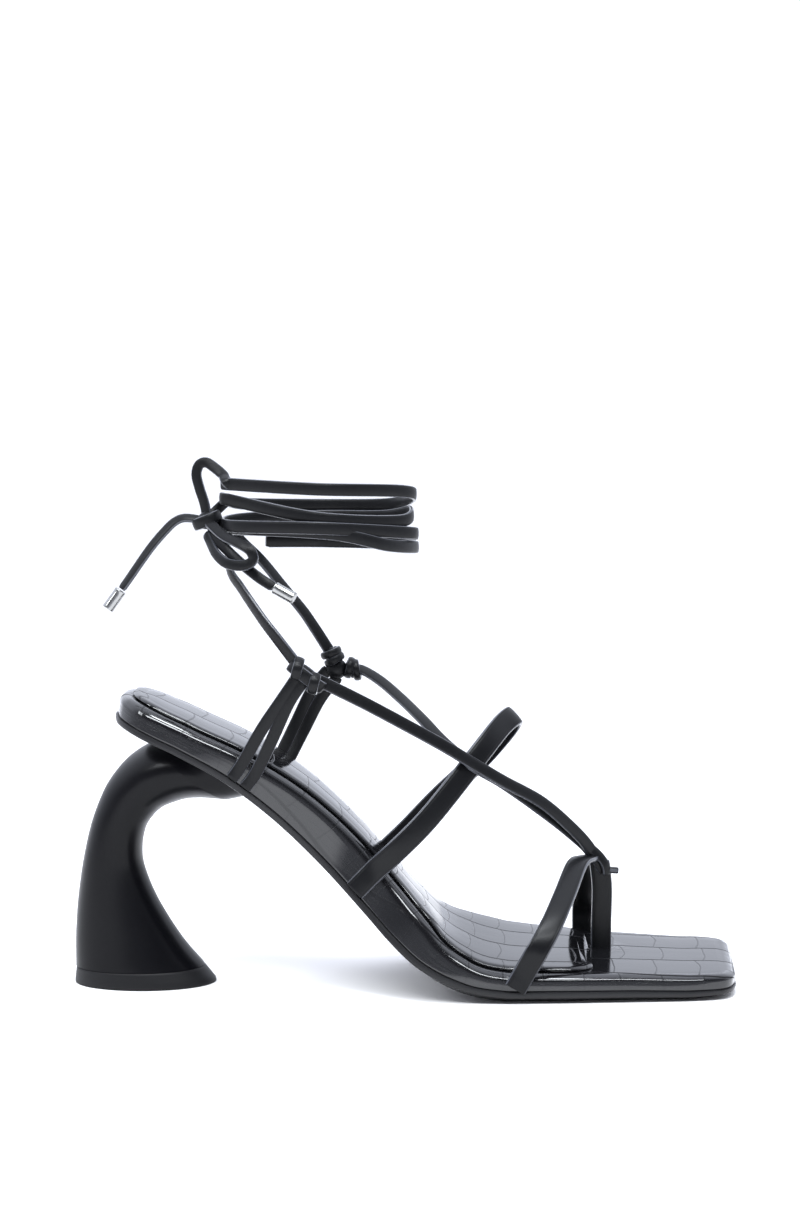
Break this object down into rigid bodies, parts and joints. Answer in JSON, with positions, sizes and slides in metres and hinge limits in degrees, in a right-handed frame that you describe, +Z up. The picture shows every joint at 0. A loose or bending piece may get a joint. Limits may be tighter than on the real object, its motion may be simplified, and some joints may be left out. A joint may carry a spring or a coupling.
{
  "type": "lace up heeled sandal",
  "caption": "Right women's sandal: embossed footbed, curved horn heel, toe post, slim foot straps and flat ties wound round the ankle.",
  "frame": {"origin": "on the floor, in the middle of the heel tip's ground face", "axes": "+X from heel to toe, +Y to the inner side of the foot, +Z up"},
  "size_m": [0.2427, 0.0813, 0.1901],
  "materials": {
    "patent_leather": "black patent with large embossed scales",
    "smooth_leather": "smooth satin black",
    "sole_edge": "satin black",
    "heel_lacquer": "satin black lacquer",
    "tip_rubber": "matt",
    "polished_metal": "polished"
  },
  "bodies": {
    "root": {"outsole": "sole_edge", "footbed": "patent_leather", "sock": "patent_leather", "heel": "heel_lacquer", "heel_tip": "tip_rubber", "upper": "smooth_leather", "ankle_tie": "smooth_leather", "bow_knot": "smooth_leather", "bow_loop_upper": "smooth_leather", "bow_loop_lower": "smooth_leather", "tie_end_left": "smooth_leather", "tie_end_right": "smooth_leather", "aglet_left": "polished_metal", "aglet_right": "polished_metal"}
  },
  "joints": []
}
